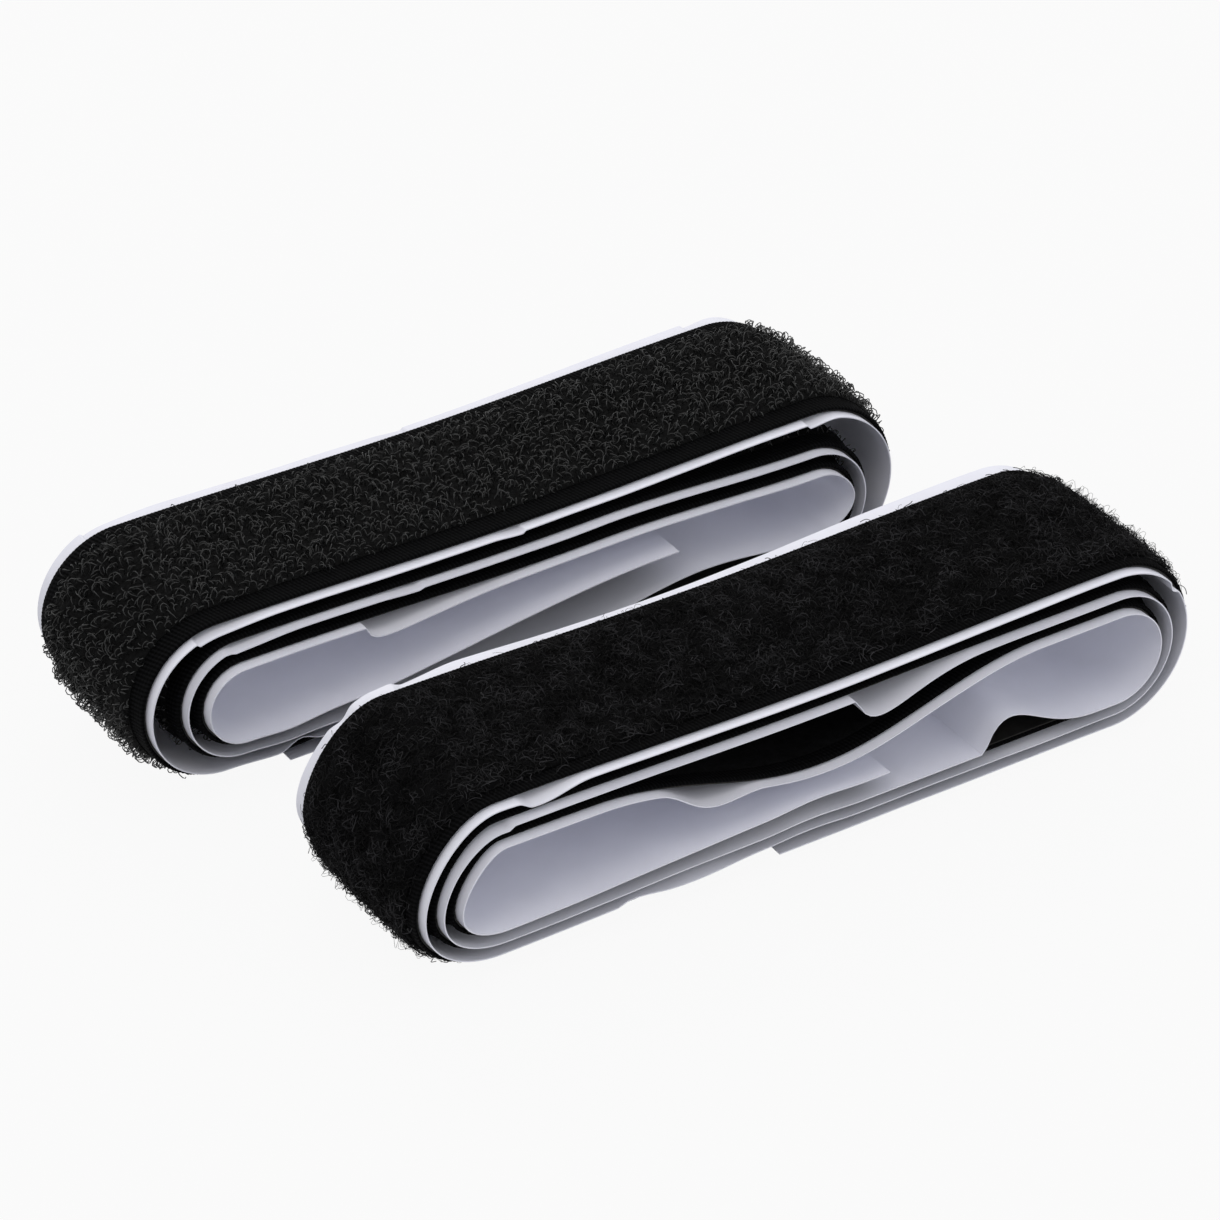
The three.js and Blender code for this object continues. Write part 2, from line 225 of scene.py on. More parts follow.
def piece_from(name, points, faces, finish, smooth_angle=None):
    """A mesh object from points in mm, with its finish and smooth shading."""
    mesh = bpy.data.meshes.new(name)
    mesh.from_pydata((points.reshape(-1, 3) * MM).tolist(), [], faces)
    mesh.update()
    mesh.shade_smooth()
    if smooth_angle is not None:
        mesh.set_sharp_from_angle(angle=smooth_angle)
    mesh.materials.append(finish)
    piece = bpy.data.objects.new(name, mesh)
    bpy.context.scene.collection.objects.link(piece)
    return piece


def mark(piece, name, values):
    """Keeps one number for each point of a piece, for its finish to read."""
    attribute = piece.data.attributes.new(name, "FLOAT", "POINT")
    attribute.data.foreach_set("value", np.asarray(values, np.float32).ravel())


def ribbon(name, line, part, across, low, high, finish):
    """A closed strip between two depths, which may differ at every station and column."""
    rows, columns = len(part), len(across)
    low, high = (np.broadcast_to(depth, (rows, columns)) for depth in (low, high))
    points = np.concatenate([face_of(line, part, across, depth).reshape(-1, 3) for depth in (high, low)])
    top = np.arange(rows * columns).reshape(rows, columns)
    under = top + rows * columns

    def quads(a, b, c, d):
        return np.stack([a, b, c, d], axis=-1).reshape(-1, 4)

    faces = np.concatenate([
        quads(top[:-1, :-1], top[1:, :-1], top[1:, 1:], top[:-1, 1:]),
        quads(under[:-1, :-1], under[:-1, 1:], under[1:, 1:], under[1:, :-1]),
        quads(top[:-1, 0], under[:-1, 0], under[1:, 0], top[1:, 0]),
        quads(top[:-1, -1], top[1:, -1], under[1:, -1], under[:-1, -1]),
        quads(top[0, :-1], top[0, 1:], under[0, 1:], under[0, :-1]),
        quads(top[-1, :-1], under[-1, :-1], under[-1, 1:], top[-1, 1:]),
    ])
    piece = piece_from(name, points, faces.tolist(), finish, SMOOTH_ANGLE)
    mark(piece, "along", np.tile(np.repeat(line["along"][part], columns), 2))
    mark(piece, "across", np.tile(np.tile(across, rows), 2))
    return piece


def adder(tree):
    """A function that adds a node to a tree, with its settings and what its sockets are given."""

    def add(kind, settings=None, **inputs):
        made = tree.nodes.new("ShaderNode" + kind)
        for key, value in (settings or {}).items():
            setattr(made, key, value)
        for key, value in inputs.items():
            socket = made.inputs[int(key[1:])] if key[0] == "i" and key[1:].isdigit() else made.inputs[key]
            if isinstance(value, bpy.types.NodeSocket):
                tree.links.new(value, socket)
            else:
                socket.default_value = value
        return made

    return add


def new_finish(name, roughness, specular):
    """A material, a function that adds nodes to it, and one that wires a node into its shader."""
    finish = bpy.data.materials.new(name)
    finish.use_nodes = True
    tree = finish.node_tree
    shader = tree.nodes["Principled BSDF"]
    shader.inputs["Roughness"].default_value = roughness
    shader.inputs["Specular IOR Level"].default_value = specular

    def wire(source, target):
        tree.links.new(source, shader.inputs[target])

    return finish, adder(tree), wire


def reckon(add, operation, *terms):
    """A number worked out from one, two or three others."""
    sockets = {f"i{i}": term for i, term in enumerate(terms)}
    return add("Math", {"operation": operation}, **sockets).outputs[0]


def tape_place(add):
    """Place on the strip in mm, to follow the tape round its bends: along, across and both as a vector."""
    along = add("Attribute", {"attribute_name": "along"}).outputs["Fac"]
    across = add("Attribute", {"attribute_name": "across"}).outputs["Fac"]
    return along, across, add("CombineXYZ", X=along, Y=across).outputs[0]


def tones(add, factor, dark, light, low=0.3, high=0.7):
    """A colour between two tones, by a factor."""
    ramp = add("ValToRGB", Fac=factor)
    ramp.color_ramp.elements[0].position = low
    ramp.color_ramp.elements[0].color = (*dark, 1)
    ramp.color_ramp.elements[1].position = high
    ramp.color_ramp.elements[1].color = (*light, 1)
    return ramp.outputs["Color"]


def woven_finish(name, dark, light):
    """Black filament yarn in a ribbed narrow weave: weft ribs on the slant, warp ends crossing them. Its
    colour follows the relief: a random yarn tone, plus painted shade in the grooves between the ribs.
    """
    finish, add, wire = new_finish(name, roughness=0.7, specular=0.025)
    along, across, place = tape_place(add)
    turn = 2 * math.pi / RIB_PITCH
    slant = reckon(add, "MULTIPLY_ADD", across, RIB_SLANT, along)
    weft = reckon(add, "COSINE", reckon(add, "MULTIPLY", slant, turn))
    warp = reckon(add, "SINE", reckon(add, "MULTIPLY", across, turn * WARP_CLOSENESS))
    weave = reckon(add, "MULTIPLY_ADD", warp, WARP_RELIEF, weft)
    fuzz = add("TexNoise", Vector=place, Scale=2.6, Detail=5.0, Roughness=0.65).outputs["Fac"]
    relief = reckon(add, "MULTIPLY_ADD", fuzz, FUZZ_RELIEF, weave)
    bump = add("Bump", Strength=0.55, Distance=0.00006, Height=relief)
    # The base colour follows the relief. The fuzz noise gives a random yarn tone; the ribs add painted
    # shade, darker in their grooves and lighter on their crests.
    level = add("MapRange", Value=relief)
    level.inputs["From Min"].default_value = -1.0
    level.inputs["From Max"].default_value = 2.6
    wire(tones(add, level.outputs[0], dark, light, 0.25, 0.85), "Base Color")
    wire(bump.outputs[0], "Normal")
    return finish


def woven_columns(selvedge):
    """Columns across the weave, close together on its bare edges and wide apart under the nap."""
    half = TAPE_WIDTH / 2
    edge = half - np.array([*SELVEDGE_COLUMNS, selvedge, selvedge + COVERED_EDGE])
    field = np.linspace(-edge[-1], edge[-1], COVERED_COLUMNS)[1:-1]
    return np.concatenate([-edge, field, edge[::-1]])


def woven_strip(name, line, part, strip, finish):
    """The weave: ribbed where it lies bare on the outside of the roll, and thinned to a rounded edge."""
    across = woven_columns(strip["selvedge"])
    from_edge = TAPE_WIDTH / 2 - np.abs(across)
    rounded = np.clip(1 - from_edge / SELVEDGE_ROUND, 0, 1) ** 2
    bare = np.clip((strip["selvedge"] - from_edge) / RIB_FADE, 0, 1) * (1 - SELVEDGE_FLAT * rounded)
    phase = 2 * math.pi * (line["along"][part][:, None] + RIB_SLANT * across) / RIB_PITCH
    ribs = RIB_HEIGHT * 0.5 * (np.cos(phase) - 1) * bare * line["fine"][part][:, None]
    high = strip["ground"] * (1 - SELVEDGE_TOP * rounded) + ribs
    low = strip["ground"] * SELVEDGE_BACK * rounded
    return ribbon(name, line, part, across, low, high, finish)


hook_line = wind(HOOK_STRIP, "hook_tail_hooks")
hook_weave = woven_finish("black_weave_hook", (0.0005, 0.0005, 0.0006), (0.0052, 0.0054, 0.006))
hook_roll_weave = woven_strip("hook_roll_weave", hook_line, hook_line["roll"], HOOK_STRIP, hook_weave)
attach(hook_roll_weave, "hook_roll")
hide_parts("hook_roll_ground")
hook_tail_weave = woven_strip("hook_tail_weave", hook_line, hook_line["tail_tape"], HOOK_STRIP, hook_weave)
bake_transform(hook_tail_weave)
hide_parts("hook_tail_ground")

# Adhesive of the hook strip.
# A film of rubber adhesive on the whole back of the tape, dark because the black weave shows through.
# It is soft and slightly glossy, and the release paper keeps it from sticking to the next turn.
GLUE_INSET = 0.25
GLUE_COLUMNS = np.linspace(-TAPE_WIDTH / 2 + GLUE_INSET, TAPE_WIDTH / 2 - GLUE_INSET, 9)
GLUE_ROLL_STRIDE = 2
GLUE_TAIL_STRIDE = 4


def glue_finish():
    finish, add, wire = new_finish("rubber_adhesive", roughness=0.38, specular=0.2)
    *_, place = tape_place(add)
    grain = add("TexNoise", Vector=place, Scale=0.9, Detail=4.0).outputs["Fac"]
    wire(tones(add, grain, (0.006, 0.0055, 0.005), (0.016, 0.015, 0.014)), "Base Color")
    wire(add("Bump", Strength=0.3, Distance=0.00005, Height=grain).outputs[0], "Normal")
    return finish


def glue_strip(name, line, part, finish):
    return ribbon(name, line, part, GLUE_COLUMNS, -BOND - GLUE_THICKNESS, -BOND, finish)


def every(part, stride):
    """Every so many stations of a part, its last one included."""
    return np.append(part[:-1:stride], part[-1])


glue = glue_finish()
hook_roll_glue = glue_strip(
    "hook_roll_glue", hook_line, every(hook_line["roll"], GLUE_ROLL_STRIDE), glue
)
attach(hook_roll_glue, "hook_roll")
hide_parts("hook_roll_adhesive")
hook_tail_glue = glue_strip(
    "hook_tail_glue", hook_line, every(hook_line["tail_tape"], GLUE_TAIL_STRIDE), glue
)
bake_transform(hook_tail_glue)
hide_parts("hook_tail_adhesive")

# Release paper of the hook strip.
# A white coated paper, wider than the tape, so that a pale band shows along both edges of every turn.
# Wound on the inside of the tape it is squeezed, and it lifts off in buckles and small sharp creases.
PAPER_NEAR_OVERHANG = 0.95
PAPER_FAR_OVERHANG = 2.1
PAPER_FLAT_HALF = 9.4
PAPER_LOOSE_FROM = 0.8
PAPER_LOOSE_OVER = 2.0
PAPER_RIPPLE = 0.07
PAPER_RIPPLE_LENGTH = 7.0
HOOK_RIPPLE_SEED = 3
LUMP_LATTICE = (97, 89)
PAPER_COLUMNS = np.concatenate([
    -TAPE_WIDTH / 2 - PAPER_NEAR_OVERHANG * np.array([1.0, 0.6, 0.1]),
    np.linspace(-PAPER_FLAT_HALF, PAPER_FLAT_HALF, 11),
    TAPE_WIDTH / 2 + PAPER_FAR_OVERHANG * np.array([0.05, 0.5, 1.0]),
])

HOOK_BUCKLES = [
    {"run": "top", "turn": 0, "from_left": 14.8, "length": 24.0, "height": 1.5, "peak": 0.1},
    {"run": "bottom", "turn": 1, "from_right": 40.3, "length": 39.1, "height": 2.1, "peak": 0.6},
]
HOOK_CURLS = [
    {"leg": "left", "turn": 2, "at": 0.7, "length": 24.0, "height": -0.35, "side": 1},
    {"leg": "top", "turn": 2, "at": 0.5, "length": 90.0, "height": -0.35, "side": 1},
    {"leg": "bottom", "turn": 2, "at": 0.88, "length": 5.0, "height": -1.0, "side": -1},
]
HOOK_CREASES = [
    {"leg": "left", "turn": 2, "at": 0.9, "rise": 0.35, "fall": 9.0, "height": 0.4},
    {"leg": "left", "turn": 1, "at": 0.95, "rise": 0.35, "fall": 8.0, "height": 0.38},
    {"leg": "top", "turn": 2, "at": 0.49, "rise": 3.5, "fall": 0.4, "height": 0.25},
    {"leg": "top", "turn": 2, "at": 0.985, "rise": 0.5, "fall": 4.0, "height": 0.42},
    {"leg": "top", "turn": 1, "at": 0.3, "rise": 5.0, "fall": 0.5, "height": 0.2},
    {"leg": "right", "turn": 0, "at": 0.85, "rise": 7.0, "fall": 30.0, "height": 1.9},
]


def lumps(u, v, size, seed):
    """Smooth random relief from 0 to 1 over a face, with swells of one size."""
    lattice = np.random.default_rng(seed).random(LUMP_LATTICE)
    u, v = np.broadcast_arrays(u / size, v / size)
    i, j = np.floor(u).astype(int), np.floor(v).astype(int)
    s, t = smooth_step(u - i), smooth_step(v - j)

    def at(a, b):
        return lattice[(i + a) % LUMP_LATTICE[0], (j + b) % LUMP_LATTICE[1]]

    near = at(0, 0) * (1 - s) + at(1, 0) * s
    far = at(0, 1) * (1 - s) + at(1, 1) * s
    return near * (1 - t) + far * t


def leg_span(line, kind, turn):
    """Distances along the strip at which a run or bend starts and ends."""
    first, last = line["legs"][kind, turn]
    return line["along"][first], line["along"][last]


def hump(u, peak):
    """A hump over 0 to 1 that is 1 high at the share peak."""
    inside = np.clip(u, 0.0, 1.0)
    return np.sin(math.pi * inside ** (math.log(0.5) / math.log(peak))) ** 2


def paper_lift(line, buckles, creases):
    """How far the paper stands off the adhesive at each station."""
    lift = np.zeros_like(line["along"])
    for b in buckles:
        first, last = line["legs"][b["run"], b["turn"]]
        start = b["from_left"] - line["half"] if "from_left" in b else line["half"] - b["from_right"]
        on_run = slice(first, last + 1)
        lift[on_run] += b["height"] * hump((line["local_x"][on_run] - start) / b["length"], b["peak"])
    for c in creases:
        first, last = leg_span(line, c["leg"], c["turn"])
        past = line["along"] - first - c["at"] * (last - first)
        before = smooth_step(1 + past / c["rise"])
        lift += c["height"] * np.where(past < 0, before, 1 - smooth_step(past / c["fall"]))
    return lift


def paper_finish():
    """Coated paper: white with a cool cast, a faint fibre grain and a soft gloss."""
    finish, add, wire = new_finish("release_paper_white", roughness=0.46, specular=0.35)
    *_, place = tape_place(add)
    cloud = add("TexNoise", Vector=place, Scale=0.16, Detail=3.0)
    fibre = add("TexNoise", Vector=place, Scale=3.5, Detail=6.0, Roughness=0.7)
    wire(tones(add, cloud.outputs["Fac"], (0.73, 0.74, 0.83), (0.775, 0.785, 0.875)), "Base Color")
    wire(add("Bump", Strength=0.12, Distance=0.00004, Height=fibre.outputs["Fac"]).outputs[0], "Normal")
    return finish


def paper_strip(name, line, part, lift, curls, seed, finish):
    """The paper, standing off the glue by its lift, rippling and curling where it hangs past the tape."""
    along = line["along"][part][:, None]
    from_edge = np.abs(PAPER_COLUMNS) - TAPE_WIDTH / 2
    loose = np.clip((from_edge + PAPER_LOOSE_FROM) / PAPER_LOOSE_OVER, 0, 1)
    ripple = PAPER_RIPPLE * (2 * lumps(along, PAPER_COLUMNS, PAPER_RIPPLE_LENGTH, seed) - 1) * loose
    for c in curls:
        first, last = leg_span(line, c["leg"], c["turn"])
        place = (along - first - c["at"] * (last - first)) / (c["length"] / 2)
        ripple = ripple + c["height"] * bell(place) * loose * (PAPER_COLUMNS * c["side"] > 0)
    high = -GLUE_THICKNESS - 2 * BOND - lift[part][:, None] + ripple
    return ribbon(name, line, part, PAPER_COLUMNS, high - PAPER_THICKNESS, high, finish)


paper = paper_finish()
hook_lift = paper_lift(hook_line, HOOK_BUCKLES, HOOK_CREASES)
hook_roll_paper = paper_strip(
    "hook_roll_paper", hook_line, hook_line["roll"], hook_lift, HOOK_CURLS, HOOK_RIPPLE_SEED, paper
)
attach(hook_roll_paper, "hook_roll")
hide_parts("hook_roll_liner")
hook_tail_paper = paper_strip(
    "hook_tail_paper", hook_line, hook_line["tail"], hook_lift, HOOK_CURLS, HOOK_RIPPLE_SEED, paper
)
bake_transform(hook_tail_paper)
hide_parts("hook_tail_liner")

# Hooks.
# Thick nylon monofilament, woven in as loops, heat-set and cut on one side, so that each stands as a crook.
# They stand free in a thicket on the outer turn, and are pressed low inside the winding and under the tail.
HOOK_BED = {"height": 0.4, "swell": 1.1, "seed": 11}
BED_STRIDE = 3
BED_COLUMNS = 45
BED_COARSE = 0.6
BED_FINE = 0.4
BED_FINE_SWELL = 0.4
BED_LEAST = 0.45
BED_RELIEF = 0.8
BED_ROUND = 1.3
BED_ROUND_LEAST = 0.3
BED_ROUND_RELIEF = 1.2
BED_RIM = 0.04
FREE_NAP = 1.4
HOOK_RADIUS = 0.052
HOOK_ROOT = 0.2
FREE_ROOM = 2.0
HOOK_SEED = 20
HOOK_MARGIN = 0.15
HOOK_PITCH = (0.68, 0.62)
PRESSED_START = 0.4
PRESSED_PITCH = (1.1, 1.0)
HOOK_JITTER = 0.42
HOOK_HEIGHT = (0.7, 1.6)
HOOK_LEAST = 0.3
HOOK_CURL = (0.25, 0.6)
HOOK_CURL_SHARE = 0.48
HOOK_SWEEP = (2.4, 4.8)
HOOK_YAW = 0.9
HOOK_LEAN = 0.3
HOOK_TWIST = 0.08
HOOK_RIM = 1.6
HOOK_RIM_START = 0.8
HOOK_RIM_SHARE = 0.2
HOOK_RIM_DROP = 0.35
HOOK_RINGS = 9
HOOK_SIDES = 4
TABLE_CLEARANCE = 0.04
DOWN_SLOPE = 0.05
OPEN_ROOM = 99.0


def bed_finish():
    """The matt black root of the thicket, where the loops come out of the weave. Its colour is darker in
    the hollows between the raised knots: painted shade.
    """
    finish, add, wire = new_finish("hook_bed_black", roughness=0.85, specular=0.08)
    *_, place = tape_place(add)
    knots = add("TexVoronoi", Vector=place, Scale=1.9).outputs["Distance"]
    # Lighter on the knots and darker towards the cell borders, where the bump sinks: painted shade in the
    # hollows between knots.
    wire(tones(add, knots, (0.004, 0.0042, 0.0045), (0.0012, 0.0012, 0.0013), 0.1, 0.6), "Base Color")
    wire(add("Bump", {"invert": True}, Strength=0.8, Distance=0.0002, Height=knots).outputs[0], "Normal")
    return finish


def hook_finish():
    """Satin nylon monofilament, each strand a slightly different black."""
    finish, add, wire = new_finish("nylon_hook_black", roughness=0.5, specular=0.5)
    tone = add("Attribute", {"attribute_name": "tone"}).outputs["Fac"]
    wire(tones(add, tone, (0.0008, 0.0009, 0.001), (0.008, 0.0088, 0.0096), 0.0, 1.0), "Base Color")
    gloss = add("MapRange", Value=tone)
    gloss.inputs["To Min"].default_value = 0.55
    gloss.inputs["To Max"].default_value = 0.24
    wire(gloss.outputs[0], "Roughness")
    return finish


def room_below(height, out_z, otherwise):
    """Way down to the table along an outward direction, or otherwise where that doesn't point down."""
    return np.where(-out_z > DOWN_SLOPE, height / np.maximum(-out_z, DOWN_SLOPE), otherwise)


def nap_bed(name, line, part, strip, bed, finish):
    """The root of the nap: a lumpy mat that thins out to its long edges."""
    half = TAPE_WIDTH / 2 - strip["selvedge"]
    across = np.linspace(-half, half, BED_COLUMNS)
    along = line["along"][part][:, None]
    swell, seed = bed["swell"], bed["seed"]
    coarse = BED_COARSE * lumps(along, across, swell, seed)
    rough = coarse + BED_FINE * lumps(along, across, swell * BED_FINE_SWELL, seed + 1)
    ragged = BED_ROUND * (BED_ROUND_LEAST + BED_ROUND_RELIEF * lumps(along, across, swell, seed + 2))
    shoulder = np.sqrt(np.clip((half - np.abs(across)) / ragged, 0, 1) * (1 - BED_RIM) + BED_RIM)
    low = strip["ground"] + BOND / 2
    room = room_below(line["z"][part], line["out_z"][part], OPEN_ROOM)[:, None] - TABLE_CLEARANCE
    fullness = np.where(line["fine"][part], FREE_NAP, 1.0)[:, None]
    thickness = bed["height"] * fullness * (BED_LEAST + BED_RELIEF * rough) * shoulder
    return ribbon(name, line, part, across, low, np.minimum(low + thickness, room), finish)


def strands(name, centre, flank, radius, sides, tone, finish):
    """Closed tubes round many short lines: centre holds each line's points, flank a direction beside it."""
    count, rings = centre.shape[:2]
    heading = np.gradient(centre, axis=1)
    heading /= np.linalg.norm(heading, axis=2, keepdims=True)
    beside = flank[:, None, :] - (heading * flank[:, None, :]).sum(2, keepdims=True) * heading
    beside /= np.linalg.norm(beside, axis=2, keepdims=True)
    over = np.cross(heading, beside)
    angle = 2 * math.pi * np.arange(sides) / sides
    ring = np.cos(angle)[:, None] * beside[:, :, None, :] + np.sin(angle)[:, None] * over[:, :, None, :]
    points = centre[:, :, None, :] + radius * ring
    index = np.arange(count * rings * sides).reshape(count, rings, sides)
    beyond = np.roll(index, -1, axis=2)
    walls = np.stack([index[:, :-1], beyond[:, :-1], beyond[:, 1:], index[:, 1:]], axis=-1).reshape(-1, 4)
    caps = np.concatenate([index[:, 0, ::-1], index[:, -1]])
    piece = piece_from(name, points, walls.tolist() + caps.tolist(), finish)
    mark(piece, "tone", np.repeat(tone, rings * sides))
    return piece


def roots(first, last, half, pitch_along, pitch_across, rng):
    """Places of strands between two distances along a strip: staggered rows, each place a little off."""
    rows = np.arange(first + pitch_along / 2, last, pitch_along)
    columns = np.linspace(-half, half, max(2, round(2 * half / pitch_across)))
    along, across = np.meshgrid(rows, columns, indexing="ij")
    along = along + (np.arange(len(columns)) % 2 - 0.5) * pitch_along / 2
    along = along + rng.uniform(-HOOK_JITTER, HOOK_JITTER, along.shape) * pitch_along
    across = across + rng.uniform(-HOOK_JITTER, HOOK_JITTER, across.shape) * pitch_across
    return np.clip(along, first, last).ravel(), np.clip(across, -half, half).ravel()


def stand(line, along):
    """Foot, outward direction and heading of the tape at distances along it."""
    keys = ("x", "y", "z", "out_x", "out_z")
    x, y, z, out_x, out_z = (np.interp(along, line["along"], line[key]) for key in keys)
    out = np.column_stack([out_x, np.zeros_like(x), out_z])
    out /= np.linalg.norm(out, axis=1)[:, None]
    return np.column_stack([x, y, z]), out, np.column_stack([out[:, 2], np.zeros_like(x), -out[:, 0]])


def facing(heading, yaw):
    """Directions in the face of the tape, turned by an angle from its heading: forward and to the flank."""
    side = np.array([0.0, 1.0, 0.0])
    forward = np.cos(yaw)[:, None] * heading + np.sin(yaw)[:, None] * side
    flank = -np.sin(yaw)[:, None] * heading + np.cos(yaw)[:, None] * side
    return forward, flank


def crooks(name, line, along, across, tallest, strip, rng, finish):
    """Hooks at the given roots: a stem rises, leans and curls over, no taller than its place allows."""
    foot, out, heading = stand(line, along)
    count = len(along)
    foot[:, 1] += across
    foot += out * (strip["ground"] + HOOK_ROOT)
    clear = room_below(foot[:, 2] - TABLE_CLEARANCE, out[:, 2], tallest)
    share = np.abs(across) / (TAPE_WIDTH / 2 - strip["selvedge"])
    rim = smooth_step((share - HOOK_RIM_START) / HOOK_RIM_SHARE)
    free = rng.uniform(*HOOK_HEIGHT, count) * (1 - HOOK_RIM_DROP * rim) - HOOK_ROOT
    height = np.minimum(free, np.minimum(tallest, clear) - HOOK_RADIUS)
    height = np.maximum(height, HOOK_LEAST)
    curl = np.minimum(rng.uniform(*HOOK_CURL, count), height * HOOK_CURL_SHARE)
    sweep = rng.uniform(*HOOK_SWEEP, count)
    yaw = np.where(rng.random(count) < 0.5, 0, math.pi) + rng.normal(0, HOOK_YAW, count)
    forward, flank = facing(heading, yaw)
    stem = height - curl
    walk = np.linspace(0, 1, HOOK_RINGS)[None, :] * (stem + curl * sweep)[:, None]
    turned = np.maximum(walk - stem[:, None], 0) / curl[:, None]
    rise = np.minimum(walk, stem[:, None]) + curl[:, None] * np.sin(turned)
    reach = curl[:, None] * (1 - np.cos(turned)) + rng.normal(0, HOOK_LEAN, count)[:, None] * rise
    swerve = rng.normal(0, HOOK_LEAN, count)[:, None] * rise
    swerve = swerve + rng.normal(0, HOOK_TWIST, count)[:, None] * turned
    centre = (
        foot[:, None, :]
        + forward[:, None, :] * reach[:, :, None]
        + out[:, None, :] * rise[:, :, None]
        + flank[:, None, :] * swerve[:, :, None]
    )
    centre[:, :, 2] = np.maximum(centre[:, :, 2], HOOK_RADIUS + TABLE_CLEARANCE)
    return strands(name, centre, flank, HOOK_RADIUS, HOOK_SIDES, rng.random(count), finish)


hook_bed = bed_finish()
hook_roll_bed = nap_bed(
    "hook_roll_bed", hook_line, every(hook_line["roll"], BED_STRIDE), HOOK_STRIP, HOOK_BED, hook_bed
)
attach(hook_roll_bed, "hook_roll")
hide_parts("hook_roll_hooks")
hook_tail_bed = nap_bed(
    "hook_tail_bed", hook_line, every(hook_line["tail_tape"], BED_STRIDE), HOOK_STRIP, HOOK_BED, hook_bed
)
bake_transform(hook_tail_bed)
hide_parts("hook_tail_hooks")

nylon = hook_finish()
hook_rng = np.random.default_rng(HOOK_SEED)
hook_field = TAPE_WIDTH / 2 - HOOK_STRIP["selvedge"] + HOOK_MARGIN
for leg in ("left", "top"):
    along, across = roots(*leg_span(hook_line, leg, TURNS - 1), hook_field, *HOOK_PITCH, hook_rng)
    hooks_name = f"hook_{leg}_hooks"
    free_hooks = crooks(hooks_name, hook_line, along, across, FREE_ROOM, HOOK_STRIP, hook_rng, nylon)
    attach(free_hooks, "hook_roll")
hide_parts("hook_roll_crooks")

outer_start = leg_span(hook_line, "left", TURNS - 1)[0]
along, across = roots(PRESSED_START, outer_start, hook_field, *PRESSED_PITCH, hook_rng)
over_tail = along > leg_span(hook_line, "bottom", TURNS - 1)[0]
shown = over_tail | (np.abs(across) > hook_field - HOOK_RIM)
pressed_room = HOOK_STRIP["nap"] + TURN_GAP / 2 - HOOK_ROOT
pressed_hooks = crooks(
    "hook_pressed_hooks", hook_line, along[shown], across[shown], pressed_room, HOOK_STRIP, hook_rng, nylon
)
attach(pressed_hooks, "hook_roll")

for leg, turn, pitch in (("right", TURNS - 1, HOOK_PITCH), ("bottom", TURNS, PRESSED_PITCH)):
    first, last = leg_span(hook_line, leg, turn)
    last = min(last, hook_line["along"][hook_line["tail_tape"][-1]] - HOOK_RADIUS)
    along, across = roots(first, last, hook_field, *pitch, hook_rng)
    hooks_name = f"hook_tail_{leg}_hooks"
    tail_hooks = crooks(hooks_name, hook_line, along, across, FREE_ROOM, HOOK_STRIP, hook_rng, nylon)
    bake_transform(tail_hooks)

# Tape and paper are wound together. The tail lies on the table under the roll, its paper a little longer.


# Woven ground of the loop strip.
# The same narrow weave, a little thinner and softer, with narrower bare edges beside the pile.
# Its roll is larger in the core, and the inner turn sags into it.
LOOP_STRIP = {
    "ground": 0.4,
    "nap": 0.4,
    "selvedge": 1.5,
    "run": 69.9,
    "bore": 9.1,
    "left_lean": 0.8,
    "tongue": 42.4,
    "tongue_lift": 0.8,
    "tail_setback": 31.0,
    "tail_step": 0.5,
    "ridge_height": 0.3,
    "ridge_length": 12.0,
    "run_sag": 0.6,
    "core_sag": 4.6,
    "core_sag_length": 50.0,
    "core_sag_shift": 0.5,
    "inner_drop": 0.4,
    "inner_drop_start": 8.0,
    "left_slack": 0.0,
    "right_slack": 0.3,
    "drift": 1.6,
}

loop_line = wind(LOOP_STRIP, "loop_tail_pile")
loop_weave = woven_finish("black_weave_loop", (0.0005, 0.0005, 0.0006), (0.0046, 0.0046, 0.0052))
loop_roll_weave = woven_strip("loop_roll_weave", loop_line, loop_line["roll"], LOOP_STRIP, loop_weave)
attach(loop_roll_weave, "loop_roll")
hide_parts("loop_roll_ground")
loop_tail_weave = woven_strip("loop_tail_weave", loop_line, loop_line["tail_tape"], LOOP_STRIP, loop_weave)
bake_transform(loop_tail_weave)
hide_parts("loop_tail_ground")

# Adhesive of the loop strip.
# The same rubber film on the back of the weave, under the paper all the way round.
loop_roll_glue = glue_strip(
    "loop_roll_glue", loop_line, every(loop_line["roll"], GLUE_ROLL_STRIDE), glue
)
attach(loop_roll_glue, "loop_roll")
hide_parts("loop_roll_adhesive")
loop_tail_glue = glue_strip(
    "loop_tail_glue", loop_line, every(loop_line["tail_tape"], GLUE_TAIL_STRIDE), glue
)
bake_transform(loop_tail_glue)
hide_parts("loop_tail_adhesive")

# Release paper of the loop strip.
# The same coated paper. The softer tape lets it buckle more: it stands off as a tunnel on the inner runs,
# and its near edge is dented close to the bends.
LOOP_RIPPLE_SEED = 5
LOOP_BUCKLES = [
    {"run": "top", "turn": 0, "from_left": 16.4, "length": 12.4, "height": 1.6, "peak": 0.5},
    {"run": "top", "turn": 1, "from_left": 39.0, "length": 15.5, "height": 2.6, "peak": 0.18},
    {"run": "bottom", "turn": 1, "from_right": 16.0, "length": 13.2, "height": 3.3, "peak": 0.22},
]
LOOP_CURLS = [
    {"leg": "top", "turn": 2, "at": 0.075, "length": 10.0, "height": -0.35, "side": -1},
    {"leg": "left", "turn": 2, "at": 0.8, "length": 22.0, "height": -0.7, "side": 1},
    {"leg": "left", "turn": 2, "at": 0.84, "length": 4.0, "height": -0.5, "side": 1},
    {"leg": "top", "turn": 2, "at": 0.42, "length": 60.0, "height": -0.65, "side": 1},
    {"leg": "bottom", "turn": 2, "at": 0.69, "length": 15.0, "height": 0.45, "side": -1},
]
